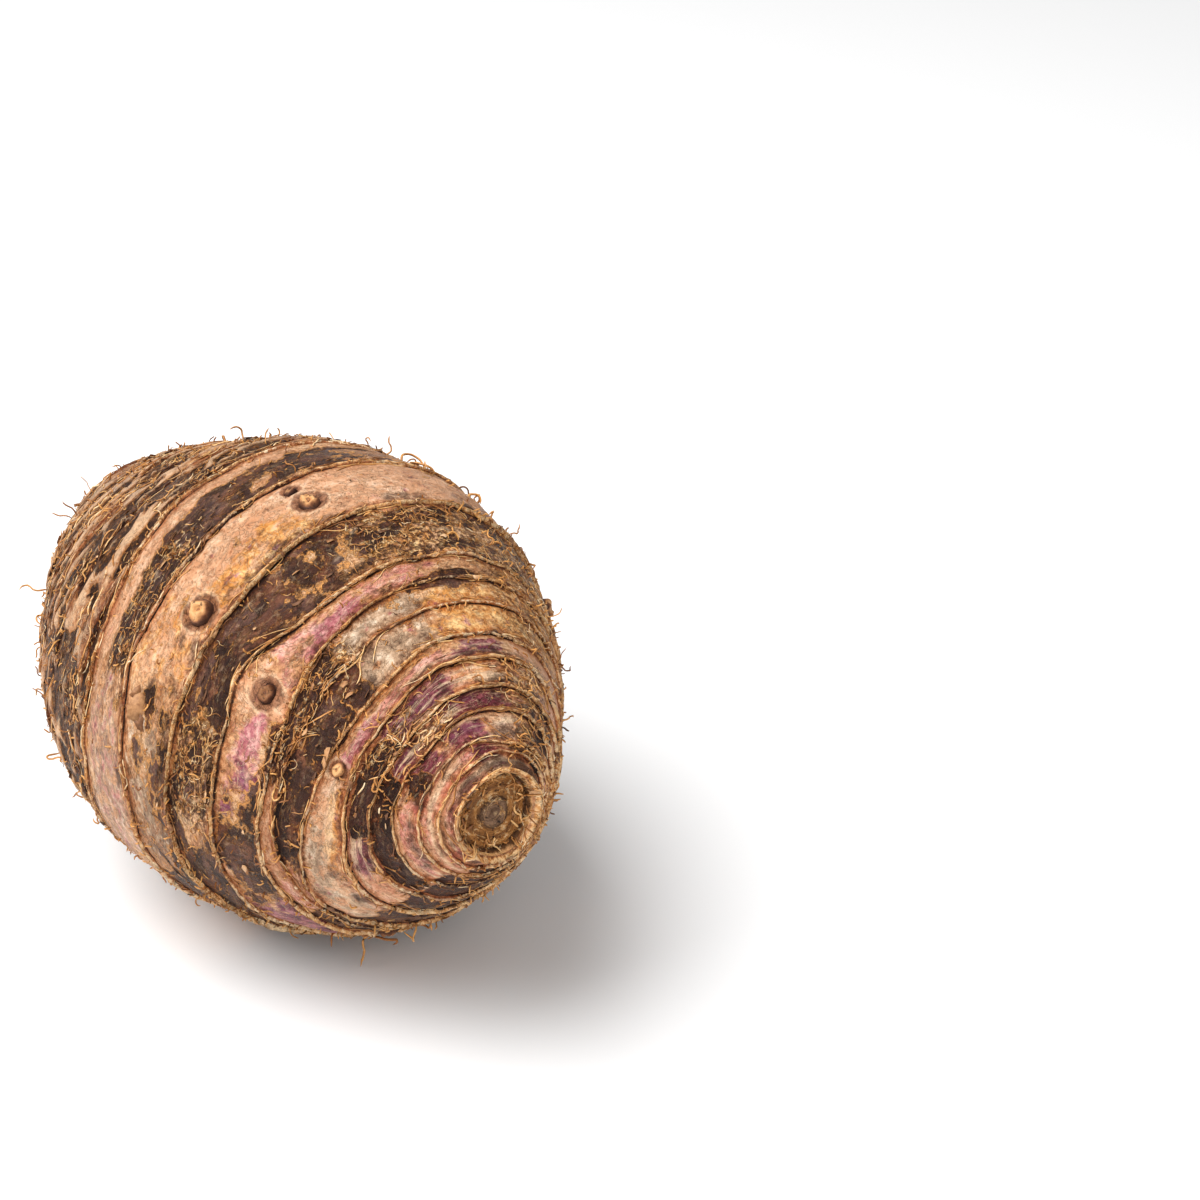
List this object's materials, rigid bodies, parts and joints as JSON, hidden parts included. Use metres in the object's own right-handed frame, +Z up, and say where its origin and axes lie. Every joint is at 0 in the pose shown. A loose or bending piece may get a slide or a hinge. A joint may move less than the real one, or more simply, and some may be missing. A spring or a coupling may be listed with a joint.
{
  "type": "malanga root",
  "caption": "Whole malanga root: an egg-shaped, ring-scarred corm with eye buds, a sunken crown scar and a blunt base, lying on a small flat.",
  "frame": {"origin": "bottom centre of the root's box, on the surface that it rests on", "axes": "+X along the root towards the crown, +Z up, +Y to the left of someone looking along +X"},
  "size_m": [0.1536, 0.095, 0.0921],
  "materials": {
    "skin": "dry, fibrous brown skin in tan, dark brown and dusty purple rings"
  },
  "bodies": {
    "root": {"malanga_root": "skin"}
  },
  "joints": []
}
